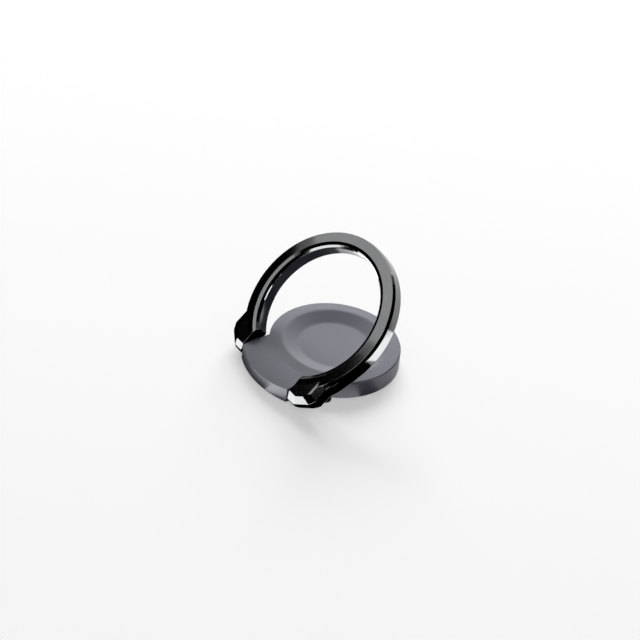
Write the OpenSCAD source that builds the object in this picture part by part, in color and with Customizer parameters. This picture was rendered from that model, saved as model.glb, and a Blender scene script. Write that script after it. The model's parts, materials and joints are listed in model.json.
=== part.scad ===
// Phone ring holder: a round stick-on housing with a finger dish, and an open ring
// that folds flat round it on a friction hinge in the housing's tongue.
// Millimetres. The origin is the middle of the bonding face, +Z points up out of the
// phone, and the tongue with its hinge points along -Y.

/* [Housing] */
// Radius of the round housing at its foot
housing_r = 15.1; // [13:0.1:20]
// How far the side wall leans in from foot to top
wall_draft = 0.1; // [0:0.05:0.4]
// Height of the housing's outer edge above the phone
shoulder_z = 4.35; // [3.9:0.05:6]
// Radius of the rounded outer edge
shoulder_round = 0.35; // [0.1:0.05:0.5]
// Width of the rim from the outer edge to the dish's mouth
rim_w = 3; // [2.5:0.1:4]
// How much the rim rises from the outer edge to the dish's mouth
rim_rise = 0.25; // [0:0.05:0.5]
// Width of the dish's sloping side
dish_slope_w = 3.8; // [2.5:0.1:6]
// Depth of the dish below its mouth
dish_depth = 1.1; // [0.5:0.05:1.3]
// Softening of the dish's mouth and floor edges
dish_round = 0.5; // [0.1:0.05:0.8]
// Thickness of the housing's side wall
wall_t = 1.2; // [0.9:0.05:1.4]
// Width of the ledge inside the wall that the base plate seats against
ledge_w = 0.8; // [0.5:0.05:1]
// Thickness of the housing's skin over what it holds
skin_t = 0.7; // [0.5:0.05:0.9]

/* [Tongue] */
// Width of the tongue between the ring's lugs
tongue_w = 18; // [16:0.2:22]
// How far the tongue's sides reach past the hinge's axis
tongue_reach = 1.7; // [1.5:0.05:2.2]
// Radius of the tongue's curved front
tongue_r = 21.1; // [16:0.1:40]
// Height of the tongue's front wall above the phone
tongue_front_z = 3; // [2.8:0.05:3.6]
// Distance behind the hinge's axis at which the tongue starts to bend down
bend_back = 3.1; // [2.5:0.1:4]
// Thickness of the tongue's cheeks, beside the hinge block
cheek_t = 2.3; // [1.8:0.1:3]

/* [Bonding pad] */
// Thickness of the adhesive pad
pad_t = 0.2; // [0.1:0.05:0.2]
// How far the pad stays inside the housing's outline
pad_inset = 0.35; // [0.2:0.05:0.8]
// Radius of the pad's rounded pull tab
tab_r = 1.4; // [1:0.1:2]
// How far the tab's centre lies outside the housing
tab_out = 0.6; // [0.2:0.1:1.5]
// Direction of the tab, from -Y towards +X
tab_angle = 49; // [44:1:60]

/* [Base plate] */
// Thickness of the base plate
plate_t = 0.6; // [0.5:0.05:0.8]
// Clearance round pieces that drop into the housing
fit_gap = 0.1; // [0.05:0.01:0.2]
// Distance of the plate's screws from the housing's outside
plate_screw_inset = 3.6; // [3.3:0.1:3.8]
// Radius of the screw bosses
boss_r = 1.4; // [1.1:0.05:1.5]
// Gap between the screw bosses and the steel disc
disc_gap = 0.3; // [0.1:0.05:1.5]
// Thickness of the steel disc
disc_t = 1.4; // [0.8:0.1:1.6]

/* [Screws] */
// Diameter of the screws' shanks
screw_d = 1; // [0.8:0.05:1.1]
// Diameter of the screws' heads
screw_head_d = 1.7; // [1.5:0.05:1.9]
// Height of the screws' heads
screw_head_h = 0.35; // [0.25:0.05:0.4]
// Width of the slot in a screw's head
screw_slot_w = 0.3; // [0.2:0.05:0.4]
// Clearance of the shanks in the pieces that they hold
screw_gap = 0.05; // [0.03:0.01:0.1]
// Length of the base plate's screws without their heads
plate_screw_l = 1.7; // [1.2:0.1:2]
// How far the hinge block's screws reach into the housing
block_screw_bite = 0.8; // [0.4:0.1:0.9]

/* [Hinge] */
// Distance of the hinge's axis outside the housing's round wall
hinge_out = 2.2; // [2:0.1:3]
// Height of the hinge's axis above the phone
hinge_z = 1.9; // [1.85:0.05:2.1]
// Angle of the ring above the phone in the pose shown
open_angle = 44; // [0:1:135]
// Diameter of the hinge pins
pin_d = 1.3; // [1.1:0.05:1.4]
// How far a pin reaches into its lug
pin_in_lug = 2.4; // [1.5:0.1:3]
// Radial running clearance of a pin in its friction sleeve
pin_run = 0.03; // [0.01:0.01:0.08]
// Radial clearance of a pin in the tongue's cheek
pin_pass = 0.1; // [0.05:0.01:0.15]
// Outside diameter of the friction sleeves
sleeve_d = 1.9; // [1.8:0.05:2]
// Width of a sleeve's slit
sleeve_slit = 0.3; // [0.2:0.05:0.4]
// Thickness of the collar at a pin's inner end
collar_t = 0.5; // [0.3:0.1:0.8]
// How much smaller a collar's radius is than the bore that it turns in
collar_gap = 0.05; // [0.03:0.01:0.1]
// Gap between the two pins' inner ends
pin_apart = 2.8; // [2:0.1:4]
// Gap between the tongue and each lug
lug_gap = 0.4; // [0.35:0.05:0.6]
// Outside diameter of the hinge washers
washer_d = 2.7; // [2:0.1:3]
// Thickness of the hinge washers
washer_t = 0.3; // [0.2:0.05:0.3]
// Thickness of the hinge block over its bore
block_over = 0.35; // [0.25:0.05:0.5]
// Distance from the hinge's axis to the block's back
block_back = 2.7; // [2.65:0.05:2.9]
// Distance from the hinge's axis back to the block's screws
block_screw_back = 1.75; // [1.7:0.05:1.8]
// Distance of the block's screws from its sides
block_screw_inset = 1.4; // [1.1:0.1:4]

/* [Ring] */
// Clearance between the housing and the folded ring
ring_gap = 0.3; // [0.3:0.05:0.6]
// Width of the hoop from its bore to its outside
hoop_w = 3.7; // [3.2:0.05:5]
// Depth of the ring below the hinge's axis
ring_rear = 1.6; // [1.4:0.05:1.6]
// Height of the face's outer edge above the hinge's axis
ring_face = 2.2; // [2:0.05:2.4]
// Height of the hoop's crest above the face's outer edge
crest_h = 0.2; // [0.1:0.05:0.4]
// Distance of the crest from the bore
crest_in = 0.95; // [0.7:0.05:1.4]
// Width of the nearly level band outside the crest
crest_w = 0.8; // [0.4:0.05:1.4]
// How far the nearly level band falls from the crest
crest_fall = 0.04; // [0.02:0.01:0.08]
// Depth of the sloping strip between the crest and the bore's chamfer
slope_h = 0.6; // [0.3:0.05:0.7]
// Width of the chamfer at the bore's upper edge
bore_chamfer_w = 0.25; // [0.1:0.05:0.4]
// Depth of the chamfer at the bore's upper edge
bore_chamfer_h = 0.3; // [0.1:0.05:0.5]
// Lean of the narrow facet round the outside
rim_facet_w = 0.15; // [0.05:0.05:0.5]
// Depth of the narrow facet round the outside
rim_facet_h = 1.1; // [0.5:0.1:1.5]
// How far the outside wall leans in towards the rear
hoop_draft = 0.1; // [0:0.05:0.2]
// Chamfer along the rear edges
rear_chamfer = 0.12; // [0.05:0.01:0.3]

/* [Lugs] */
// Width of a lug from the tongue's gap to its outer side
lug_w = 6.7; // [6:0.1:8]
// How far the lugs reach past the hinge's axis
lug_end = 1.65; // [1.3:0.05:1.65]
// Width of a lug's square end
lug_tip_w = 2.2; // [1.5:0.1:3]
// Reach of the cut corner along the lug
lug_corner = 2.45; // [2:0.05:3.5]
// How far the cut corner stays inside the lug's outer side
lug_corner_in = 0.95; // [0.4:0.05:1.2]
// Length of the short facet between the cut corner and the outer side
lug_knuckle = 1.6; // [0.8:0.1:2]
// Height of the lugs' faces over the face's outer edge
lug_rise = 0.1; // [0:0.05:0.2]
// Length of the end bevel on a lug's face
end_bevel_l = 1.85; // [1:0.05:2.2]
// Depth of the end bevel
end_bevel_h = 1.5; // [0.8:0.05:1.8]
// Width of the bevel along a lug's outer side
side_bevel_w = 1.8; // [0.8:0.05:2]
// Width of the bevel along a lug's cut corner
corner_bevel_w = 1.45; // [0.8:0.05:1.7]
// Length and depth of the bevel at the rear of a lug's end
heel_bevel = 1; // [0.6:0.05:1.1]
// Length and depth of the bevel at the rear of a lug's cut corner
corner_heel = 0.5; // [0.3:0.05:0.8]
// Distance from the axis at which the flare starts
flare_start = 5.2; // [5:0.1:6]
// Distance from the axis at which the flare meets the skirt
flare_end = 7.3; // [6.5:0.1:8.5]
// Angle below the hoop's middle at which its skirt leaves the round outside
skirt_angle = 15; // [10:1:20]
// Chamfer along the upper edge of each skirt
skirt_chamfer = 0.3; // [0.1:0.05:0.5]

/* [Hidden] */
$fn = 96;

// Colours as the photograph shows them
grey_soft = [0.47, 0.47, 0.50];
black_chrome = [0.16, 0.16, 0.17];
steel = [0.72, 0.73, 0.75];
pad_black = [0.07, 0.07, 0.08];
sleeve_bronze = [0.72, 0.53, 0.32];
washer_black = [0.10, 0.10, 0.11];
zinc = [0.62, 0.63, 0.65];

// Length that is more than the whole object
reach = 60;

// Housing heights
foot_z = pad_t;
dish_mouth_z = shoulder_z + rim_rise;
floor_z = dish_mouth_z - dish_depth;
plate_top_z = foot_z + plate_t;
ceiling_z = floor_z - skin_t;
housing_top_r = housing_r - wall_draft;
shoulder_r = housing_top_r - shoulder_round;
dish_r = housing_top_r - rim_w;
floor_r = dish_r - dish_slope_w;
plate_r = housing_r - wall_t;
cavity_r = plate_r - ledge_w;
plate_screw_at = housing_r - plate_screw_inset;
disc_r = plate_screw_at - boss_r - disc_gap;

// Tongue. Its front is an arc through both corners, and its top bends down on another
// arc that ends at the nose.
tongue_half = tongue_w / 2;
hinge_y = housing_r + hinge_out;
front_y = sqrt(tongue_r * tongue_r - tongue_half * tongue_half) - hinge_y - tongue_reach;
nose_y = tongue_r - front_y;
bend_y = hinge_y - bend_back;
bend_run = nose_y - bend_y;
bend_drop = shoulder_z - tongue_front_z;
bend_r = (bend_run * bend_run + bend_drop * bend_drop) / (2 * bend_drop);
pocket_half = tongue_half - cheek_t;

// Hinge
pin_r = pin_d / 2;
sleeve_r = sleeve_d / 2;
lug_in = tongue_half + lug_gap;
lug_out = lug_in + lug_w;
block_half = pocket_half - fit_gap;
block_y = hinge_y - block_back;
block_screw_y = hinge_y - block_screw_back;
block_screw_x = block_half - block_screw_inset;
block_bottom_z = foot_z + fit_gap / 2;
sleeve_start = pin_apart / 2 + collar_t + fit_gap;
sleeve_l = block_half - sleeve_start - fit_gap;
block_top_z = hinge_z + sleeve_r + block_over;
block_screw_l = block_top_z + block_screw_bite - block_bottom_z - screw_head_h;

// Ring
bore_r = housing_r + ring_gap;
hoop_r = bore_r + hoop_w;
hoop_v = hinge_y;
crest_r = bore_r + crest_in;
crest_top = ring_face + crest_h;
chamfer_top = crest_top - slope_h;
chamfer_foot = chamfer_top - bore_chamfer_h;
facet_foot = ring_face - rim_facet_h;
lug_face = ring_face + lug_rise;
skirt_top = [hoop_r * cos(skirt_angle), hoop_v - hoop_r * sin(skirt_angle)];
skirt_foot = [
    skirt_top[0] - (skirt_top[1] - flare_end) * tan(skirt_angle),
    flare_end
];

// Points of an arc about a centre, from angle a0 to a1
function arc(centre, r, a0, a1, steps) = [
    for (i = [0:steps])
        let (a = a0 + (a1 - a0) * i / steps)
        [centre[0] + r * cos(a), centre[1] + r * sin(a)]
];

// Points that soften the corner b between a and c with a curve that starts cut away from b
function soften(a, b, c, cut, steps) = [
    for (i = [0:steps])
        let (
            t = i / steps,
            p = b + (a - b) * cut / norm(a - b),
            q = b + (c - b) * cut / norm(c - b)
        )
        (1 - t) * (1 - t) * p + 2 * t * (1 - t) * b + t * t * q
];

// Outline of the tongue, or of a pocket or block in it, from the line that lies back
// from the housing's middle, drawn in by side_in at its sides and front_in at its front
module tongue_outline(side_in, front_in, back) {
    half = tongue_half - side_in;
    intersection() {
        translate([0, front_y]) circle(r = tongue_r - front_in);
        translate([-half, -reach]) square([2 * half, reach - back]);
    }
}

// Everything below the tongue's bent top, lowered by drop
module under_bend(drop) {
    translate([-reach / 2, -bend_y, -1])
        cube([reach, reach, shoulder_z - drop + 1]);
    translate([-reach / 2, -bend_y, shoulder_z - bend_r])
        rotate([0, 90, 0])
            cylinder(r = bend_r - drop, h = reach, $fn = 256);
}

// Round body with its rounded shoulder and slightly raised rim
module round_body() {
    rotate_extrude()
        polygon(concat(
            [[0, foot_z], [housing_r, foot_z]],
            arc([shoulder_r, shoulder_z - shoulder_round], shoulder_round, 0, 90, 6),
            [[dish_r, dish_mouth_z], [0, dish_mouth_z]]
        ));
}

// Tongue that carries the hinge, with its curved front and bent top
module tongue() {
    intersection() {
        translate([0, 0, foot_z])
            linear_extrude(height = shoulder_z)
                tongue_outline(0, 0, 0);
        under_bend(0);
    }
}

// Cutter for the dish, softened at its mouth and its floor
module dish_cut() {
    mouth = [dish_r, dish_mouth_z];
    foot = [floor_r, floor_z];
    outside = [dish_r + 2, dish_mouth_z - rim_rise * 2 / (shoulder_r - dish_r)];
    rotate_extrude()
        polygon(concat(
            [[0, floor_z]],
            soften([0, floor_z], foot, mouth, dish_round, 5),
            soften(foot, mouth, outside, dish_round, 5),
            [[dish_r + dish_round, dish_mouth_z + 1], [0, dish_mouth_z + 1]]
        ));
}

// Places one child at each of the base plate's screws
module at_plate_screws() {
    for (a = [45, 135, 225, 315])
        rotate([0, 0, a]) translate([plate_screw_at, 0, 0]) children();
}

// Places one child at each of the hinge block's screws
module at_block_screws() {
    for (side = [-1, 1])
        translate([side * block_screw_x, -block_screw_y, 0]) children();
}

// Small screw that points up, with a flat head and a plain drive slot
module screw(head_z, length) {
    difference() {
        union() {
            translate([0, 0, head_z]) cylinder(d = screw_head_d, h = screw_head_h, $fn = 32);
            translate([0, 0, head_z]) cylinder(d = screw_d, h = screw_head_h + length, $fn = 32);
        }
        translate([-screw_head_d, -screw_slot_w / 2, head_z - 1])
            cube([2 * screw_head_d, screw_slot_w, 1 + screw_head_h / 2]);
    }
}

module housing() {
    color(grey_soft)
        difference() {
            union() {
                round_body();
                tongue();
            }
            dish_cut();
            // Seat of the base plate
            translate([0, 0, -1]) cylinder(r = plate_r, h = plate_top_z + 1);
            // Space over the plate, with the screw bosses left standing
            difference() {
                cylinder(r = cavity_r, h = ceiling_z);
                at_plate_screws() cylinder(r = boss_r, h = ceiling_z + 1, $fn = 48);
            }
            at_plate_screws()
                cylinder(d = screw_d, h = foot_z + screw_head_h + plate_screw_l, $fn = 32);
            // Pocket of the hinge block
            intersection() {
                translate([0, 0, -1])
                    linear_extrude(height = block_top_z + 1)
                        tongue_outline(cheek_t, wall_t, block_y - fit_gap);
                under_bend(skin_t);
            }
            at_block_screws()
                cylinder(d = screw_d, h = block_top_z + block_screw_bite, $fn = 32);
            // Holes for the hinge pins
            translate([-tongue_w, -hinge_y, hinge_z])
                rotate([0, 90, 0])
                    cylinder(r = pin_r + pin_pass, h = 2 * tongue_w);
        }
}

module adhesive_pad() {
    color(pad_black)
        linear_extrude(height = pad_t) {
            circle(r = housing_r - pad_inset);
            tongue_outline(pad_inset, pad_inset, 0);
            rotate([0, 0, tab_angle - 90]) {
                translate([housing_r + tab_out, 0]) circle(r = tab_r, $fn = 48);
                translate([0, -tab_r]) square([housing_r + tab_out, 2 * tab_r]);
            }
        }
}

module base_plate() {
    color(steel)
        difference() {
            translate([0, 0, foot_z]) cylinder(r = plate_r - fit_gap, h = plate_t);
            at_plate_screws() {
                cylinder(r = screw_d / 2 + screw_gap, h = shoulder_z, $fn = 32);
                cylinder(r = screw_head_d / 2 + screw_gap, h = foot_z + screw_head_h, $fn = 32);
            }
        }
}

module plate_screws() {
    color(steel)
        at_plate_screws() screw(foot_z, plate_screw_l);
}

module steel_disc() {
    color(steel)
        translate([0, 0, plate_top_z]) cylinder(r = disc_r, h = disc_t);
}

module hinge_block() {
    color(zinc)
        difference() {
            intersection() {
                translate([0, 0, block_bottom_z])
                    linear_extrude(height = block_top_z - block_bottom_z)
                        tongue_outline(cheek_t + fit_gap, wall_t + fit_gap, block_y);
                under_bend(skin_t + fit_gap);
            }
            translate([-tongue_w, -hinge_y, hinge_z])
                rotate([0, 90, 0]) cylinder(r = sleeve_r, h = 2 * tongue_w);
            at_block_screws() {
                cylinder(r = screw_d / 2 + screw_gap, h = shoulder_z, $fn = 32);
                cylinder(r = screw_head_d / 2 + screw_gap, h = block_bottom_z + screw_head_h, $fn = 32);
            }
        }
}

module block_screws() {
    color(steel)
        at_block_screws() screw(block_bottom_z, block_screw_l);
}

// Split friction sleeve on the right, pressed in the hinge block
module friction_sleeve() {
    color(sleeve_bronze)
        translate([sleeve_start, -hinge_y, hinge_z])
            rotate([0, 90, 0])
                difference() {
                    cylinder(r = sleeve_r, h = sleeve_l);
                    translate([0, 0, -1]) cylinder(r = pin_r + pin_run, h = sleeve_l + 2);
                    translate([0, -sleeve_slit / 2, -1]) cube([sleeve_r + 1, sleeve_slit, sleeve_l + 2]);
                }
}

// Hinge pin on the right, fixed in its lug and running in its sleeve
module hinge_pin() {
    collar_r = sleeve_r - collar_gap;
    color(steel)
        translate([pin_apart / 2, -hinge_y, hinge_z])
            rotate([0, 90, 0]) {
                cylinder(r = pin_r, h = lug_in + pin_in_lug - pin_apart / 2);
                cylinder(r = collar_r, h = collar_t);
            }
}

// Thrust washer on the right, in the gap between tongue and lug
module hinge_washer() {
    color(washer_black)
        translate([tongue_half + (lug_gap - washer_t) / 2, -hinge_y, hinge_z])
            rotate([0, 90, 0])
                difference() {
                    cylinder(d = washer_d, h = washer_t, $fn = 48);
                    translate([0, 0, -1]) cylinder(r = pin_r + pin_run, h = washer_t + 2, $fn = 48);
                }
}

// Takes off an outline's edge from p to q, whose inside lies on the left: the cut
// starts inset inside the edge at height top and leaves the side down below it.
// With facing -1 it works upwards from the rear.
module edge_cut(p, q, inset, down, top, facing = 1) {
    turn = atan2(q[1] - p[1], q[0] - p[0]);
    tilt = atan2(down, inset);
    translate([p[0], p[1], top])
        mirror([0, 0, facing > 0 ? 0 : 1])
            rotate([0, 0, turn])
                translate([0, 0, -down])
                    rotate([tilt, 0, 0])
                        translate([-reach, -reach, 0]) cube([2 * reach, 2 * reach, reach]);
}

// Right lug: a thick plate with a bevelled end, corner and side
module lug() {
    tip = [lug_in + lug_tip_w, -lug_end];
    corner = [lug_out - lug_corner_in, tip[1] + lug_corner];
    side = [lug_out, corner[1] + lug_knuckle];
    side_top = [lug_out, flare_end];
    side_down = lug_face - facet_foot;
    difference() {
        translate([0, 0, -ring_rear])
            linear_extrude(height = lug_face + ring_rear)
                polygon([[lug_in, -lug_end], tip, corner, side, side_top, [lug_in, flare_end]]);
        edge_cut([lug_in, -lug_end], tip, end_bevel_l, end_bevel_h, lug_face);
        edge_cut(tip, corner, corner_bevel_w, side_down, lug_face);
        edge_cut(corner, side, side_bevel_w, side_down, lug_face);
        edge_cut(side, side_top, side_bevel_w, side_down, lug_face);
        edge_cut([lug_in, -lug_end], tip, heel_bevel, heel_bevel, -ring_rear, -1);
        edge_cut(tip, corner, corner_heel, corner_heel, -ring_rear, -1);
        edge_cut(side, side_top, rear_chamfer, rear_chamfer, -ring_rear, -1);
    }
}

// Right skirt: the flat flank between the hoop's round outside and the lug, as high as
// the foot of the hoop's narrow facet
module skirt() {
    difference() {
        translate([0, 0, -ring_rear])
            linear_extrude(height = facet_foot + ring_rear)
                polygon([
                    [lug_in, flare_start], [lug_out, flare_start], skirt_foot, skirt_top,
                    [skirt_top[0] - hoop_w, skirt_top[1]]
                ]);
        edge_cut([lug_out, flare_start], skirt_foot, skirt_chamfer, skirt_chamfer, facet_foot);
        edge_cut(skirt_foot, skirt_top, skirt_chamfer, skirt_chamfer, facet_foot);
        edge_cut([lug_out, flare_start], skirt_foot, rear_chamfer, rear_chamfer, -ring_rear, -1);
        edge_cut(skirt_foot, skirt_top, rear_chamfer, rear_chamfer, -ring_rear, -1);
    }
}

// Round hoop with a crested face and chamfered rear edges
module hoop() {
    rear_r = hoop_r - hoop_draft;
    translate([0, hoop_v, 0])
        rotate_extrude($fn = 180)
            polygon([
                [bore_r, rear_chamfer - ring_rear],
                [bore_r, chamfer_foot],
                [bore_r + bore_chamfer_w, chamfer_top],
                [crest_r, crest_top],
                [crest_r + crest_w, crest_top - crest_fall],
                [hoop_r - rim_facet_w, ring_face],
                [hoop_r, facet_foot],
                [rear_r, rear_chamfer - ring_rear],
                [rear_r - rear_chamfer, -ring_rear],
                [bore_r + rear_chamfer, -ring_rear]
            ]);
}

// Clears the hoop's bore with its chamfers and sloping strip out of the lugs
module bore_clear() {
    translate([0, hoop_v, 0])
        rotate_extrude($fn = 180)
            polygon([
                [0, -ring_rear],
                [bore_r + rear_chamfer, -ring_rear],
                [bore_r, rear_chamfer - ring_rear],
                [bore_r, chamfer_foot],
                [bore_r + bore_chamfer_w, chamfer_top],
                [crest_r, crest_top],
                [0, crest_top]
            ]);
}

// Ring in its own frame: the hinge's axis along X, the hoop towards +Y, face up
module ring_flat() {
    slot_top = hoop_v - sqrt(bore_r * bore_r - lug_in * lug_in) + hoop_w;
    difference() {
        union() {
            hoop();
            difference() {
                for (flip = [0, 1])
                    mirror([flip, 0, 0]) {
                        lug();
                        skirt();
                    }
                bore_clear();
            }
        }
        // Room for the tongue between the lugs
        translate([-lug_in, -lug_end - 1, -ring_rear - 1])
            cube([2 * lug_in, slot_top + lug_end + 1, crest_top + ring_rear + 2]);
        // Seats of the hinge pins
        translate([-lug_in - pin_in_lug, 0, 0])
            rotate([0, 90, 0]) cylinder(r = pin_r, h = 2 * (lug_in + pin_in_lug), $fn = 48);
    }
}

module ring() {
    color(black_chrome)
        translate([0, -hinge_y, hinge_z])
            rotate([open_angle, 0, 0])
                ring_flat();
}

housing();
adhesive_pad();
base_plate();
plate_screws();
steel_disc();
hinge_block();
block_screws();
mirror([1, 0, 0]) friction_sleeve();  // friction_sleeve_left
friction_sleeve();  // friction_sleeve_right
mirror([1, 0, 0]) hinge_pin();  // hinge_pin_left
hinge_pin();  // hinge_pin_right
mirror([1, 0, 0]) hinge_washer();  // hinge_washer_left
hinge_washer();  // hinge_washer_right
ring();
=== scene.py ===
# Phone ring holder: camera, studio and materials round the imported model. Metres, +Z up.
import json
import math

import bpy
import numpy as np
from mathutils import Matrix, Vector


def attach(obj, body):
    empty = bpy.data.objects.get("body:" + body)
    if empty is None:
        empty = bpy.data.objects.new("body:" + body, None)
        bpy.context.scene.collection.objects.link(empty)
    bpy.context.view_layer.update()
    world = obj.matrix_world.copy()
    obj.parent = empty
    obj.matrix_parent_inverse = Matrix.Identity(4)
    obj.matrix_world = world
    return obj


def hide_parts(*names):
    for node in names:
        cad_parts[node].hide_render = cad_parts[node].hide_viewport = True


# Camera, as the photograph was taken
CAMERA_AZIMUTH = 51.0
CAMERA_ELEVATION = 36.24
CAMERA_ROLL = 7.97
CAMERA_DISTANCE = 0.6
CAMERA_ASIDE = 0.00294
CAMERA_DOWN = -0.00843
SENSOR = 36.0
LENS = 148.7
CLIP = (0.01, 20.0)

# Floor and world
FLOOR_SIZE = 6.0
FLOOR_DROP = 0.0002
FLOOR_WHITE = 0.57
FLOOR_GLOW = 0.43
WORLD_LIGHT = 0.25

# Flat cards on the floor, as spans in X and Y, or as radii and azimuths in degrees
CARD_STEPS = 24
DARK_Z = -0.8 * FLOOR_DROP
TABLE_Z = -0.5 * FLOOR_DROP
DARK_REACH = (0.0, 1.5)
DARK_TURNS = (-110.0, 100.0)
DARK_SIDE = ((0.041, 1.5), (-0.06, 1.5))
LEFT_TABLE = ((-0.0175, -0.0125), (-0.045, -0.0215))
RIGHT_TABLE = ((0.003, 0.026), (-0.045, -0.0212))
MIDDLE_TABLE = ((-0.0125, 0.003), (-0.045, -0.024))
SHORE_TABLE = ((-0.0270, -0.0165), (-0.0140, 0.008))
SIDE_TABLE = ((0.031, 0.041), (0.004, 0.052))
TABLE_GLOW = 5.0
NEAR_REACH = (0.0152, 0.0195)
NEAR_TURNS = (25.0, 80.0)
NEAR_GLOW = 2.0

# Curved cards round the object, as edges of azimuth, lowest and highest elevation in degrees
FLAG_DISTANCE = 1.5
STRIP_DISTANCE = 1.4
PANEL_DISTANCE = 2.0
FLAG_FOOT = -2.0
FLAG_EDGE = 2.5
FLAG_TOPS = [
    (-100, 22), (-70, 27), (-58, 29.5), (-47, 32.3), (-41, 33), (-38, 36),
    (-34, 38), (-28, 31), (10, 29), (40, 36), (85, 41),
]
DARK_FLAG = [(turn, FLAG_FOOT, top) for turn, top in FLAG_TOPS]
GREY_EDGE = [(turn, top, top + FLAG_EDGE) for turn, top in FLAG_TOPS]
DARK_HORIZON = [(turn, FLAG_FOOT, 12.0) for turn in range(95, 186, 15)]
DARK_SIDE_FLAG = [(turn, 12.0, 60.0) for turn in (85, 105, 125, 150)]
SIDE_STRIP = [(turn, 1.0, 15.0) for turn in (113, 122, 131)]
SOFTBOX = [(turn, 31.0, 70.0) for turn in (*range(-120, 61, 20), 85)]
BACK_PANEL = [(turn, 30.0, 58.0) for turn in (-155, -145, -135, -120)]
BACK_LOW = [(turn, 0.0, 20.0) for turn in (-165, -150, -130, -115, -100)]
BACK_TOP = [(turn, 60.0, 89.0) for turn in range(150, 241, 18)]
EDGE_GLOW = 0.5
SOFTBOX_GLOW = 1.5
BACK_GLOW = 2.6
TOP_GLOW = 0.3
LOW_GLOW = 2.7
STRIP_GLOW = 7.0

# Lamp behind the object
LAMP_AZIMUTH = -129.0
LAMP_ELEVATION = 30.0
LAMP_DISTANCE = 2.0
LAMP_SIZE = (1.6, 1.0)
LAMP_POWER = 60.0

# Materials: darkest and lightest colour, lowest and highest roughness, features to the metre,
# and bumps as depth in metres, strength and softened edge in metres
NOISE_MIDDLE = (0.25, 0.75)
BEVEL_SAMPLES = 8
COAT_TINT = ((0.084, 0.086, 0.117), (0.094, 0.096, 0.130))
COAT_ROUGH = (0.38, 0.46)
COAT_CLOUD = 120.0
COAT_GRAIN = 9000.0
COAT_BUMP = (0.00001, 0.35, 0.00012)
COAT_SPECULAR = 0.75
CHROME_TINT = ((0.145, 0.147, 0.149), (0.160, 0.162, 0.164))
CHROME_ROUGH = (0.05, 0.1)
CHROME_WAVE = 220.0
CHROME_HAZE = 2500.0
CHROME_BUMP = (0.00002, 0.1, 0.00009)
METAL_BUMP = (0.00001, 0.3)
SOFT_BUMP = 0.5
STEEL = ((0.48, 0.49, 0.5), (0.6, 0.61, 0.62), 0.22, 0.34, 4000.0)
ALLOY = ((0.42, 0.43, 0.44), (0.52, 0.53, 0.54), 0.38, 0.52, 3000.0)
BRONZE = ((0.5, 0.3, 0.14), (0.62, 0.4, 0.2), 0.28, 0.4, 4000.0)
FOAM = ((0.02, 0.02, 0.021), (0.035, 0.035, 0.037), 0.6, 0.8, 6000.0, 0.00002)
WASHER = ((0.02, 0.02, 0.02), (0.03, 0.03, 0.03), 0.35, 0.5, 4000.0, 0.00001)

# Ring sizes in millimetres, in the hinge's own frame: u across the ring, v from the
# hinge's axis into the hoop and w up out of the ring's face
MM = 0.001
BORE_R = 15.4
HOOP_W = 3.7
HOOP_V = 17.3
RING_REAR = 1.6
RING_FACE = 2.2
CREST = (1.2, 2.4)
CREST_BAND = (1.75, 2.36)
CREST_FOOT = (0.5, 2.17)
BORE_CHAMFER = (0.1, 1.62)
BORE_EDGE_W = 1.3
RIM_LEAN = 0.15
RIM_EDGE_W = 1.1
HOOP_DRAFT = 0.1
REAR_CHAMFER = 0.12
LUG_IN = 9.4
LUG_W = 6.7
LUG_END = 1.65
LUG_TIP_W = 2.2
LUG_CORNER = (0.95, 2.45)
LUG_KNUCKLE = 1.6
LUG_FACE = 2.3
END_BEVEL = (1.85, 1.5)
SIDE_BEVEL_W = 1.8
CORNER_BEVEL_W = 1.45
LUG_BAR = (0.25, 0.55)
HEEL_BEVEL = 1.0
CORNER_HEEL = 0.5
FLARE_START = 5.2
FLARE_END = 7.3
SKIRT_ANGLE = math.radians(15.0)
SKIRT_CHAMFER = 0.3
EDGE_SOFT = 0.08
PIN_HOLE_R = 0.65
PIN_HOLE_DEPTH = 2.4

# Ring mesh
FAN_STATIONS = 110
HOOP_STATIONS = 104
SECTION_POINTS = 144
SCAN_RAYS = 360
SCAN_STEPS = 24
RAY_REACH = 8.0
FAN_END = math.radians(-12.0)
CORNER_SHARE = 0.8
SECTION_W = 0.2
SECTION_START = 0.3
NUDGE = 0.004
EDGE_STEPS = (0.01, 0.08, 0.3, 0.6, 1.0)
MIDDLE_HALVINGS = 12
SCAN_HALVINGS = 8
SKIN_HALVINGS = 18
LARGEST_COSINE = 0.999

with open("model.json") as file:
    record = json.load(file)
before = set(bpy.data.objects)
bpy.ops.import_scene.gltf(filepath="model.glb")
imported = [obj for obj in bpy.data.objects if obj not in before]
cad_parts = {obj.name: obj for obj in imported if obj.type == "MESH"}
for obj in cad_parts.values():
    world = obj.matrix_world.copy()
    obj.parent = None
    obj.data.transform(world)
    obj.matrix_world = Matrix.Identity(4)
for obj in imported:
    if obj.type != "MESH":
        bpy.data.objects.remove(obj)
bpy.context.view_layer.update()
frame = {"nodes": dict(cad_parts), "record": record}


def new_material(name):
    """An empty node material, its principled shader and its output."""
    material = bpy.data.materials.new(name)
    material.use_nodes = True
    tree = material.node_tree
    tree.nodes.clear()
    shader = tree.nodes.new("ShaderNodeBsdfPrincipled")
    output = tree.nodes.new("ShaderNodeOutputMaterial")
    tree.links.new(shader.outputs["BSDF"], output.inputs["Surface"])
    return material, tree, shader


def object_coordinates(tree):
    """Coordinates in metres that stay with the piece."""
    return tree.nodes.new("ShaderNodeTexCoord").outputs["Object"]


def noise(tree, coordinates, scale, detail=2.0, roughness=0.5):
    """Noise of the given number of features to the metre."""
    node = tree.nodes.new("ShaderNodeTexNoise")
    node.inputs["Scale"].default_value = scale
    node.inputs["Detail"].default_value = detail
    node.inputs["Roughness"].default_value = roughness
    tree.links.new(coordinates, node.inputs["Vector"])
    return node.outputs["Fac"]


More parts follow.
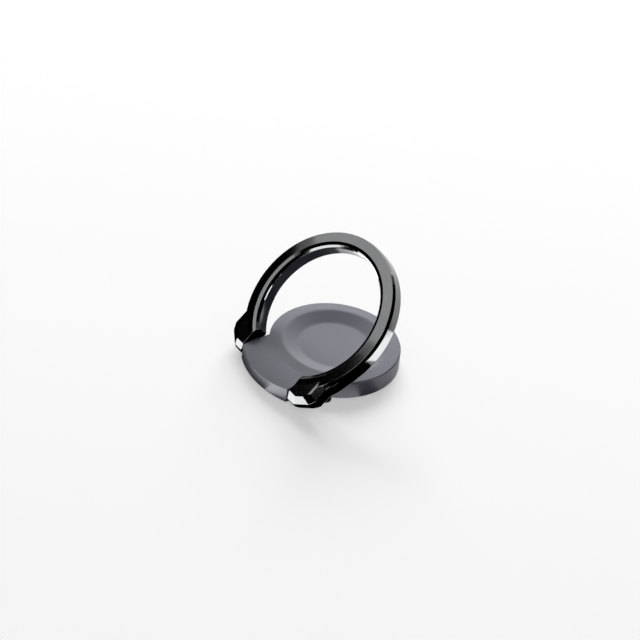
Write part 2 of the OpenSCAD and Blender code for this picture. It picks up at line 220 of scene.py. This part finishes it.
def spread(tree, value, low, high):
    """Maps the middle half of a noise's values to the range from low to high."""
    node = tree.nodes.new("ShaderNodeMapRange")
    node.inputs["From Min"].default_value = NOISE_MIDDLE[0]
    node.inputs["From Max"].default_value = NOISE_MIDDLE[1]
    node.inputs["To Min"].default_value = low
    node.inputs["To Max"].default_value = high
    tree.links.new(value, node.inputs["Value"])
    return node.outputs["Result"]


def shade(tree, value, dark, light):
    """A colour between dark and light, chosen by value."""
    node = tree.nodes.new("ShaderNodeMix")
    node.data_type = "RGBA"
    node.inputs["A"].default_value = (*dark, 1.0)
    node.inputs["B"].default_value = (*light, 1.0)
    tree.links.new(value, node.inputs["Factor"])
    return node.outputs["Result"]


def bump(tree, height, depth, strength, soft_edge=0.0):
    """Normal of a surface raised by height times depth metres, with edges rounded by soft_edge."""
    node = tree.nodes.new("ShaderNodeBump")
    node.inputs["Strength"].default_value = strength
    node.inputs["Distance"].default_value = depth
    tree.links.new(height, node.inputs["Height"])
    if soft_edge:
        bevel = tree.nodes.new("ShaderNodeBevel")
        bevel.samples = BEVEL_SAMPLES
        bevel.inputs["Radius"].default_value = soft_edge
        tree.links.new(bevel.outputs["Normal"], node.inputs["Normal"])
    return node.outputs["Normal"]


def grey_coat():
    """Matte grey soft coat with a very fine grain."""
    material, tree, shader = new_material("grey_coat")
    place = object_coordinates(tree)
    cloud = noise(tree, place, COAT_CLOUD, 3.0)
    grain = noise(tree, place, COAT_GRAIN, 2.0, 0.6)
    tint = shade(tree, spread(tree, cloud, 0.0, 1.0), *COAT_TINT)
    tree.links.new(tint, shader.inputs["Base Color"])
    tree.links.new(spread(tree, grain, *COAT_ROUGH), shader.inputs["Roughness"])
    tree.links.new(bump(tree, grain, *COAT_BUMP), shader.inputs["Normal"])
    shader.inputs["Specular IOR Level"].default_value = COAT_SPECULAR
    return material


def black_chrome():
    """Dark mirror plating."""
    material, tree, shader = new_material("black_chrome")
    place = object_coordinates(tree)
    wave = noise(tree, place, CHROME_WAVE, 2.0)
    haze = noise(tree, place, CHROME_HAZE, 3.0)
    tint = shade(tree, spread(tree, wave, 0.0, 1.0), *CHROME_TINT)
    tree.links.new(tint, shader.inputs["Base Color"])
    tree.links.new(spread(tree, haze, *CHROME_ROUGH), shader.inputs["Roughness"])
    tree.links.new(bump(tree, wave, *CHROME_BUMP), shader.inputs["Normal"])
    shader.inputs["Metallic"].default_value = 1.0
    return material


def plain_metal(name, dark, light, rough_low, rough_high, grain_scale):
    """Bare metal with a fine grain."""
    material, tree, shader = new_material(name)
    place = object_coordinates(tree)
    grain = noise(tree, place, grain_scale, 3.0, 0.6)
    tree.links.new(shade(tree, spread(tree, grain, 0.0, 1.0), dark, light), shader.inputs["Base Color"])
    tree.links.new(spread(tree, grain, rough_low, rough_high), shader.inputs["Roughness"])
    tree.links.new(bump(tree, grain, *METAL_BUMP), shader.inputs["Normal"])
    shader.inputs["Metallic"].default_value = 1.0
    return material


def dark_soft(name, dark, light, rough_low, rough_high, grain_scale, depth):
    """Dark foam or plastic with a fine grain."""
    material, tree, shader = new_material(name)
    place = object_coordinates(tree)
    grain = noise(tree, place, grain_scale, 3.0, 0.6)
    tree.links.new(shade(tree, spread(tree, grain, 0.0, 1.0), dark, light), shader.inputs["Base Color"])
    tree.links.new(spread(tree, grain, rough_low, rough_high), shader.inputs["Roughness"])
    tree.links.new(bump(tree, grain, depth, SOFT_BUMP), shader.inputs["Normal"])
    return material


def flat(origin, normal):
    """Plane through origin that faces along normal."""
    normal = np.array(normal, dtype=float)
    normal /= np.linalg.norm(normal)

    def surface(points):
        return (points - np.array(origin)) @ normal, np.broadcast_to(normal, points.shape)

    return surface


def turned(start, end):
    """Surface that the line from start to end, as (radius, w), sweeps round the hoop's middle."""
    along = np.array(end) - np.array(start)
    out, up = np.array((along[1], -along[0])) / np.linalg.norm(along)

    def surface(points):
        arm = points[..., :2] - np.array((0.0, HOOP_V))
        radius = np.linalg.norm(arm, axis=-1)
        distance = (radius - start[0]) * out + (points[..., 2] - start[1]) * up
        normal = np.empty(points.shape)
        normal[..., :2] = arm * (out / radius)[..., None]
        normal[..., 2] = up
        return distance, normal

    return surface


def gap_side(points):
    """Flat side of the ring's opening, which the tongue fills."""
    distance = np.where(points[..., 1] < HOOP_V / 2, LUG_IN - points[..., 0], -HOOP_V)
    return distance, np.broadcast_to((-1.0, 0.0, 0.0), points.shape)


def side(start, end):
    """Upright plane over the outline's edge from start to end, whose inside is on the left."""
    return flat((*start, 0.0), (end[1] - start[1], start[0] - end[0], 0.0))


def bevel(start, end, inset, down, top, facing=1):
    """Plane that takes the edge from start to end off, inset at height top and down below it."""
    length = math.dist(start, end)
    outward = ((end[1] - start[1]) / length, (start[0] - end[0]) / length)
    return flat((*start, top - facing * down), (outward[0] * down, outward[1] * down, facing * inset))


def ring_parts():
    """Surfaces of the right half's three overlapping solids: the hoop, the lug and the skirt."""
    hoop_r = BORE_R + HOOP_W
    rear_r = hoop_r - HOOP_DRAFT
    lug_out = LUG_IN + LUG_W
    section = [
        (BORE_R, REAR_CHAMFER - RING_REAR),
        (BORE_R, BORE_EDGE_W),
        (BORE_R + BORE_CHAMFER[0], BORE_CHAMFER[1]),
        (BORE_R + CREST_FOOT[0], CREST_FOOT[1]),
        (BORE_R + CREST[0], CREST[1]),
        (BORE_R + CREST_BAND[0], CREST_BAND[1]),
        (hoop_r - RIM_LEAN, RING_FACE),
        (hoop_r, RIM_EDGE_W),
        (rear_r, REAR_CHAMFER - RING_REAR),
        (rear_r - REAR_CHAMFER, -RING_REAR),
        (BORE_R + REAR_CHAMFER, -RING_REAR),
    ]
    section.reverse()
    hoop_sides = [turned(section[i - 1], section[i]) for i in range(len(section))]
    inner = [
        turned((BORE_R + CREST[0], CREST[1]), (BORE_R + CREST_FOOT[0], CREST_FOOT[1])),
        turned((BORE_R + CREST_FOOT[0], CREST_FOOT[1]), (BORE_R + BORE_CHAMFER[0], BORE_CHAMFER[1])),
        turned((BORE_R + BORE_CHAMFER[0], BORE_CHAMFER[1]), (BORE_R, BORE_EDGE_W)),
        turned((BORE_R, BORE_EDGE_W), (BORE_R, -RING_REAR)),
    ]
    skirt_top = (hoop_r * math.cos(SKIRT_ANGLE), HOOP_V - hoop_r * math.sin(SKIRT_ANGLE))
    skirt_foot = (skirt_top[0] - (skirt_top[1] - FLARE_END) * math.tan(SKIRT_ANGLE), FLARE_END)
    skirt_start = (lug_out, FLARE_START)
    tip = (LUG_IN + LUG_TIP_W, -LUG_END)
    corner = (lug_out - LUG_CORNER[0], tip[1] + LUG_CORNER[1])
    knuckle = (lug_out, corner[1] + LUG_KNUCKLE)
    side_top = (lug_out, FLARE_END)
    level = [flat((0, 0, -RING_REAR), (0, 0, -1)), gap_side]
    side_down = LUG_FACE - RIM_EDGE_W
    lug = [
        flat((0, 0, LUG_FACE), (0, 0, 1)),
        side((LUG_IN, -LUG_END), tip),
        side(tip, corner),
        side(corner, knuckle),
        side(knuckle, side_top),
        side(side_top, (LUG_IN, FLARE_END)),
        bevel((LUG_IN, -LUG_END), tip, *END_BEVEL, LUG_FACE),
        bevel(tip, corner, CORNER_BEVEL_W, side_down, LUG_FACE),
        bevel(knuckle, side_top, SIDE_BEVEL_W + LUG_BAR[0], LUG_BAR[1], LUG_FACE),
        bevel(corner, knuckle, SIDE_BEVEL_W, side_down, LUG_FACE),
        bevel(knuckle, side_top, SIDE_BEVEL_W, side_down, LUG_FACE),
        bevel((LUG_IN, -LUG_END), tip, HEEL_BEVEL, HEEL_BEVEL, -RING_REAR, -1),
        bevel(tip, corner, CORNER_HEEL, CORNER_HEEL, -RING_REAR, -1),
        bevel(knuckle, side_top, REAR_CHAMFER, REAR_CHAMFER, -RING_REAR, -1),
    ]
    skirt = [
        flat((0, 0, RIM_EDGE_W), (0, 0, 1)),
        side((LUG_IN, FLARE_START), skirt_start),
        side(skirt_start, skirt_foot),
        side(skirt_foot, skirt_top),
        side(skirt_top, (skirt_top[0] - HOOP_W, skirt_top[1])),
        bevel(skirt_start, skirt_foot, SKIRT_CHAMFER, SKIRT_CHAMFER, RIM_EDGE_W),
        bevel(skirt_foot, skirt_top, SKIRT_CHAMFER, SKIRT_CHAMFER, RIM_EDGE_W),
        bevel(skirt_start, skirt_foot, REAR_CHAMFER, REAR_CHAMFER, -RING_REAR, -1),
        bevel(skirt_foot, skirt_top, REAR_CHAMFER, REAR_CHAMFER, -RING_REAR, -1),
    ]
    return [hoop_sides + [gap_side], lug + inner + level, skirt + inner + level]


def rounded(surfaces, points, soft):
    """Distance outside a convex solid, with the edges between its sides rounded."""
    found = [surface(points) for surface in surfaces]
    distances = np.stack([distance for distance, normal in found])
    normals = np.stack([normal for distance, normal in found])
    order = np.argsort(-distances, axis=0)[:3]
    distances = np.take_along_axis(distances, order, axis=0)
    normals = np.take_along_axis(normals, order[..., None], axis=0)
    best = distances[0]
    for a, b in ((0, 1), (0, 2), (1, 2)):
        p, q = distances[a] + soft, distances[b] + soft
        cosine = np.clip((normals[a] * normals[b]).sum(axis=-1), -LARGEST_COSINE, LARGEST_COSINE)
        square = (p * p + q * q - 2 * p * q * cosine) / (1 - cosine * cosine)
        curve = np.sqrt(np.maximum(square, 0.0)) - soft
        between = (p > q * cosine) & (q > p * cosine)
        best = np.where(between, np.maximum(best, curve), best)
    return best


def outside_ring(points, parts):
    """Distance outside the ring's right half, in millimetres."""
    return np.min([rounded(part, points, EDGE_SOFT) for part in parts], axis=0)


def last_crossing(origins, directions, parts, halvings):
    """How far along each ray the ring's outermost skin lies."""
    far = np.full(np.broadcast_shapes(origins.shape, directions.shape)[:-1], RAY_REACH)
    near = np.zeros(far.shape)
    open_ray = np.ones(far.shape, dtype=bool)
    for step in range(SCAN_STEPS - 1, 0, -1):
        reach = RAY_REACH * step / SCAN_STEPS
        inside = outside_ring(origins + directions * reach, parts) < 0
        near = np.where(open_ray & inside, reach, near)
        open_ray &= ~inside
        far = np.where(open_ray, reach, far)
    for _ in range(halvings):
        middle = (near + far) / 2
        inside = outside_ring(origins + directions * middle[..., None], parts) < 0
        near = np.where(inside, middle, near)
        far = np.where(inside, far, middle)
    return (near + far) / 2


def ring_stations():
    """Where each section stands on the bore, and which way it runs outward in plan."""
    start = -math.acos(LUG_IN / BORE_R)
    edge = LUG_IN + EDGE_SOFT * np.array(EDGE_STEPS)
    at = [-np.arccos(edge / BORE_R)]
    turn = [np.full(len(edge), -math.pi / 2)]
    fan = np.linspace(0.0, 1.0, FAN_STATIONS + 1)[1:]
    first = at[0][-1]
    at.append(first + (FAN_END - first) * fan)
    turn.append(-math.pi / 2 + (FAN_END + math.pi / 2) * fan)
    hoop = np.linspace(FAN_END, math.pi / 2, HOOP_STATIONS + 1)[1:]
    at.append(hoop)
    turn.append(hoop)
    at, turn = np.concatenate(at), np.concatenate(turn)
    foot = np.stack((BORE_R * np.cos(at), HOOP_V + BORE_R * np.sin(at), np.zeros(len(at))), axis=-1)
    outward = np.stack((np.cos(turn), np.sin(turn), np.zeros(len(at))), axis=-1)
    return foot, outward


def even_angles(points, angles):
    """Ray angles that space a section's points evenly, and closer round its edges."""
    step = np.roll(points, -1, axis=1) - points
    length = np.linalg.norm(step, axis=-1)
    heading = step / length[..., None]
    bend = np.arccos(np.clip((heading * np.roll(heading, 1, axis=1)).sum(axis=-1), -1, 1))
    weight = length + CORNER_SHARE * (bend + np.roll(bend, -1, axis=1)) / 2
    total = np.concatenate((np.zeros((len(points), 1)), np.cumsum(weight, axis=1)), axis=1)
    full = np.append(angles, 2 * math.pi)
    share = np.arange(SECTION_POINTS) / SECTION_POINTS
    return np.stack([np.interp(share * row[-1], row, full) for row in total])


def ring_skin():
    """Points and normals of the right half's sections, from the lug's end to the hoop's top."""
    parts = ring_parts()
    foot, outward = ring_stations()
    foot[:, 2] = SECTION_W
    start = foot + outward * SECTION_START
    middle = start + outward * last_crossing(start, outward, parts, MIDDLE_HALVINGS)[:, None] / 2
    middle, outward = middle[:, None], outward[:, None]
    rise = np.array((0.0, 0.0, 1.0))
    angles = np.arange(SCAN_RAYS) * 2 * math.pi / SCAN_RAYS
    for rays, halvings in ((angles[None], SCAN_HALVINGS), (None, SKIN_HALVINGS)):
        if rays is None:
            rays = even_angles(skin, angles)
        heading = np.cos(rays)[..., None] * outward + np.sin(rays)[..., None] * rise
        skin = middle + heading * last_crossing(middle, heading, parts, halvings)[..., None]
    normals = np.empty(skin.shape)
    for axis in range(3):
        nudge = np.zeros(3)
        nudge[axis] = NUDGE
        normals[..., axis] = outside_ring(skin + nudge, parts) - outside_ring(skin - nudge, parts)
    return skin, normals / np.linalg.norm(normals, axis=-1, keepdims=True)


def loop_faces(first, second, count):
    """Faces between two closed loops of points."""
    return [(second + j, second + (j + 1) % count, first + (j + 1) % count, first + j) for j in range(count)]


def ring_loops():
    """Every loop of the ring as points, normals and whether it joins the loop before it."""
    skin, normals = ring_skin()
    count = skin.shape[1]
    angle = np.arctan2(skin[0, :, 2], skin[0, :, 1])
    end_u = np.full(count, skin[0, 0, 0])
    circle = np.stack((end_u, PIN_HOLE_R * np.cos(angle), PIN_HOLE_R * np.sin(angle)), axis=-1)
    deep = circle + np.array((PIN_HOLE_DEPTH, 0.0, 0.0))
    back = np.tile((-1.0, 0.0, 0.0), (count, 1))
    inward = np.stack((np.zeros(count), -np.cos(angle), -np.sin(angle)), axis=-1)
    right = [
        (deep, inward, False),
        (circle, inward, True),
        (circle, back, False),
        (skin[0], back, True),
    ]
    right += [(skin[i], normals[i], i > 0) for i in range(len(skin))]
    mirror = np.array((-1.0, 1.0, 1.0))
    joins = [True] + [loop[2] for loop in right[:0:-1]]
    mirrored = zip(right[-2::-1], joins)
    left = [(points * mirror, ways * mirror, join) for (points, ways, _), join in mirrored]
    return right + left


def to_frame(points, hinge, opened):
    """Moves points from the hinge's own frame to the model's."""
    cosine, sine = math.cos(opened), math.sin(opened)
    u, v, w = points[..., 0], points[..., 1], points[..., 2]
    turned_points = np.stack((u, v * cosine - w * sine, v * sine + w * cosine), axis=-1)
    return turned_points + np.array(hinge)


def fine_ring(material):
    """Ring with crisp facets and softened edges, in place of its CAD solid."""
    joint = frame["record"]["behaviour"]["joints"][0]
    opened = -math.radians(joint["range_deg"][0])
    loops = ring_loops()
    count = len(loops[0][0])
    faces = []
    for i, (points, ways, joined) in enumerate(loops):
        if joined:
            faces += loop_faces((i - 1) * count, i * count, count)
    points = to_frame(np.concatenate([loop[0] for loop in loops]) * MM, joint["pos_m"], opened)
    normals = to_frame(np.concatenate([loop[1] for loop in loops]), (0.0, 0.0, 0.0), opened)
    mesh = bpy.data.meshes.new("ring_fine")
    mesh.from_pydata(points.tolist(), [], faces)
    mesh.polygons.foreach_set("use_smooth", [True] * len(mesh.polygons))
    mesh.normals_split_custom_set_from_vertices(normals.tolist())
    mesh.materials.append(material)
    thing = bpy.data.objects.new("ring_fine", mesh)
    bpy.context.scene.collection.objects.link(thing)
    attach(thing, "ring_body")
    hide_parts("ring")


def dress(material, *names):
    """Gives CAD nodes a material."""
    for name in names:
        mesh = frame["nodes"][name].data
        mesh.materials.clear()
        mesh.materials.append(material)


def dress_all():
    """Gives every piece its material."""
    steel = plain_metal("plain_steel", *STEEL)
    alloy = plain_metal("cast_alloy", *ALLOY)
    bronze = plain_metal("bearing_bronze", *BRONZE)
    dress(grey_coat(), "housing")
    fine_ring(black_chrome())
    dress(steel, "base_plate", "plate_screws", "steel_disc", "block_screws")
    dress(steel, "hinge_pin_left", "hinge_pin_right")
    dress(alloy, "hinge_block")
    dress(bronze, "friction_sleeve_left", "friction_sleeve_right")
    dress(dark_soft("pad_foam", *FOAM), "adhesive_pad")
    dress(dark_soft("washer_black", *WASHER), "hinge_washer_left", "hinge_washer_right")


def floor_white():
    """Matte white that keeps shadows, with a part of its brightness its own in every view of it."""
    material, tree, shader = new_material("floor_white")
    shader.inputs["Base Color"].default_value = (FLOOR_WHITE, FLOOR_WHITE, FLOOR_WHITE, 1.0)
    shader.inputs["Roughness"].default_value = 1.0
    shader.inputs["Specular IOR Level"].default_value = 0.0
    shader.inputs["Emission Color"].default_value = (1.0, 1.0, 1.0, 1.0)
    path = tree.nodes.new("ShaderNodeLightPath")
    seen = path.outputs["Is Camera Ray"]
    for ray in ("Is Glossy Ray", "Is Transmission Ray"):
        either = tree.nodes.new("ShaderNodeMath")
        either.operation = "MAXIMUM"
        tree.links.new(seen, either.inputs[0])
        tree.links.new(path.outputs[ray], either.inputs[1])
        seen = either.outputs["Value"]
    glow = tree.nodes.new("ShaderNodeMath")
    glow.operation = "MULTIPLY"
    glow.inputs[1].default_value = FLOOR_GLOW
    tree.links.new(seen, glow.inputs[0])
    tree.links.new(glow.outputs["Value"], shader.inputs["Emission Strength"])
    return material


def away(azimuth, elevation):
    """Direction from the object: azimuth 0 is -Y and 90 is +X, in degrees."""
    a, e = math.radians(azimuth), math.radians(elevation)
    return Vector((math.sin(a) * math.cos(e), -math.cos(a) * math.cos(e), math.sin(e)))


def floor():
    """Plain pale floor just under the bonding face."""
    half = FLOOR_SIZE / 2
    mesh = bpy.data.meshes.new("floor")
    corners = [(x * half, y * half, -FLOOR_DROP) for x, y in ((-1, -1), (1, -1), (1, 1), (-1, 1))]
    mesh.from_pydata(corners, [], [(0, 1, 2, 3)])
    thing = bpy.data.objects.new("floor", mesh)
    bpy.context.scene.collection.objects.link(thing)
    mesh.materials.append(floor_white())


def sky():
    """Soft even light from all round."""
    world = bpy.data.worlds.new("studio")
    bpy.context.scene.world = world
    world.use_nodes = True
    soft = world.node_tree.nodes["Background"]
    soft.inputs["Color"].default_value = (1.0, 1.0, 1.0, 1.0)
    soft.inputs["Strength"].default_value = WORLD_LIGHT


def stage_card(name, corners, faces, glow):
    """Card that only reflections see: glowing white, or black where glow is 0."""
    material, tree, shader = new_material(name)
    shader.inputs["Base Color"].default_value = (0.0, 0.0, 0.0, 1.0)
    shader.inputs["Specular IOR Level"].default_value = 0.0
    shader.inputs["Emission Color"].default_value = (1.0, 1.0, 1.0, 1.0)
    shader.inputs["Emission Strength"].default_value = glow
    mesh = bpy.data.meshes.new(name)
    mesh.from_pydata(corners, [], faces)
    mesh.materials.append(material)
    thing = bpy.data.objects.new(name, mesh)
    bpy.context.scene.collection.objects.link(thing)
    thing.visible_camera = False
    thing.visible_diffuse = False
    thing.visible_shadow = False


def curved_card(name, edges, distance, glow):
    """Card bent round the object, through edges of (azimuth, lowest and highest elevation)."""
    corners = [away(azimuth, elevation) * distance for azimuth, *ends in edges for elevation in ends]
    faces = [(2 * i, 2 * i + 1, 2 * i + 3, 2 * i + 2) for i in range(len(edges) - 1)]
    stage_card(name, corners, faces, glow)


def floor_patch(name, across, along, height, glow):
    """Flat card on the floor, between two X and two Y."""
    corners = [(x, y, height) for x in across for y in along]
    stage_card(name, corners, [(0, 2, 3, 1)], glow)


def floor_card(name, radii, azimuths, height, glow):
    """Flat card on the floor, between two radii and two azimuths."""
    turns = np.linspace(*azimuths, CARD_STEPS + 1)
    lift = Vector((0.0, 0.0, height))
    corners = [away(turn, 0.0) * radius + lift for turn in turns for radius in radii]
    faces = [(2 * i, 2 * i + 1, 2 * i + 3, 2 * i + 2) for i in range(CARD_STEPS)]
    stage_card(name, corners, faces, glow)


def lamp():
    """Soft lamp that faces the object and that no reflection shows."""
    data = bpy.data.lights.new("back_light", "AREA")
    data.shape = "RECTANGLE"
    data.size, data.size_y = LAMP_SIZE
    data.energy = LAMP_POWER
    thing = bpy.data.objects.new("back_light", data)
    bpy.context.scene.collection.objects.link(thing)
    thing.visible_glossy = False
    toward = away(LAMP_AZIMUTH, LAMP_ELEVATION)
    thing.location = toward * LAMP_DISTANCE
    thing.rotation_mode = "QUATERNION"
    thing.rotation_quaternion = toward.to_track_quat("Z", "Y")


def camera():
    """Camera at the photograph's viewing angle."""
    turn, roll = math.radians(CAMERA_AZIMUTH), math.radians(CAMERA_ROLL)
    back = away(CAMERA_AZIMUTH, CAMERA_ELEVATION)
    level = Vector((math.cos(turn), math.sin(turn), 0.0))
    rise = back.cross(level)
    across = level * math.cos(roll) + rise * math.sin(roll)
    up = rise * math.cos(roll) - level * math.sin(roll)
    data = bpy.data.cameras.new("camera")
    data.sensor_fit = "HORIZONTAL"
    data.sensor_width = SENSOR
    data.lens = LENS
    data.clip_start, data.clip_end = CLIP
    thing = bpy.data.objects.new("camera", data)
    bpy.context.scene.collection.objects.link(thing)
    place = back * CAMERA_DISTANCE - across * CAMERA_ASIDE - up * CAMERA_DOWN
    thing.matrix_world = Matrix.Translation(place) @ Matrix((across, up, back)).transposed().to_4x4()
    bpy.context.scene.camera = thing


bpy.context.scene.view_settings.view_transform = "Standard"
dress_all()
floor()
sky()
floor_card("dark_floor", DARK_REACH, DARK_TURNS, DARK_Z, 0.0)
floor_patch("left_table", *LEFT_TABLE, TABLE_Z, TABLE_GLOW)
floor_patch("right_table", *RIGHT_TABLE, TABLE_Z, TABLE_GLOW)
floor_card("near_table", NEAR_REACH, NEAR_TURNS, TABLE_Z, NEAR_GLOW)
floor_patch("middle_table", *MIDDLE_TABLE, TABLE_Z, TABLE_GLOW)
floor_patch("shore_table", *SHORE_TABLE, TABLE_Z, TABLE_GLOW)
floor_patch("dark_side", *DARK_SIDE, TABLE_Z, 0.0)
floor_patch("side_table", *SIDE_TABLE, TABLE_Z, TABLE_GLOW)
curved_card("dark_horizon", DARK_HORIZON, FLAG_DISTANCE, 0.0)
curved_card("side_strip", SIDE_STRIP, STRIP_DISTANCE, STRIP_GLOW)
curved_card("dark_flag", DARK_FLAG, FLAG_DISTANCE, 0.0)
curved_card("flag_edge", GREY_EDGE, FLAG_DISTANCE, EDGE_GLOW)
curved_card("dark_side_flag", DARK_SIDE_FLAG, FLAG_DISTANCE, 0.0)
curved_card("softbox", SOFTBOX, PANEL_DISTANCE, SOFTBOX_GLOW)
curved_card("back_panel", BACK_PANEL, PANEL_DISTANCE, BACK_GLOW)
curved_card("back_low", BACK_LOW, PANEL_DISTANCE, LOW_GLOW)
curved_card("back_top", BACK_TOP, PANEL_DISTANCE, TOP_GLOW)
lamp()
camera()
